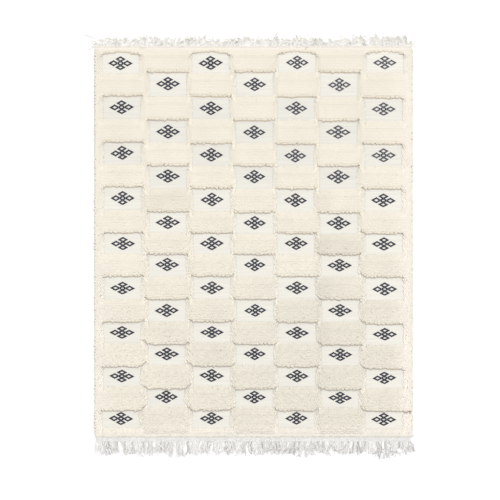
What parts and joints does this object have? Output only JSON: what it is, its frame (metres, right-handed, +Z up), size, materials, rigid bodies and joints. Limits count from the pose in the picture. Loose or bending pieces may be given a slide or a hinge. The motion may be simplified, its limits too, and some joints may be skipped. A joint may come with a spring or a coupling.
{
  "type": "beni ourain rug",
  "caption": "Flat wool pile rug with staggered raised blocks, bare woven windows holding dark lozenge figures, and a cotton fringe at both ends.",
  "frame": {"origin": "on the floor under the middle of the rug's outline, fringes included", "axes": "+Z is up out of the floor, +Y runs along the rug towards its end with the short fringe, and +X across it to the right"},
  "size_m": [2.0404, 2.6502, 0.0192],
  "materials": {
    "wool_pile": "undyed ivory wool pile, matt",
    "cotton_warp": "unbleached white cotton yarn, matt"
  },
  "bodies": {
    "root": {"rug_body": "wool_pile", "fringe_top": "cotton_warp", "fringe_bottom": "cotton_warp"}
  },
  "joints": []
}
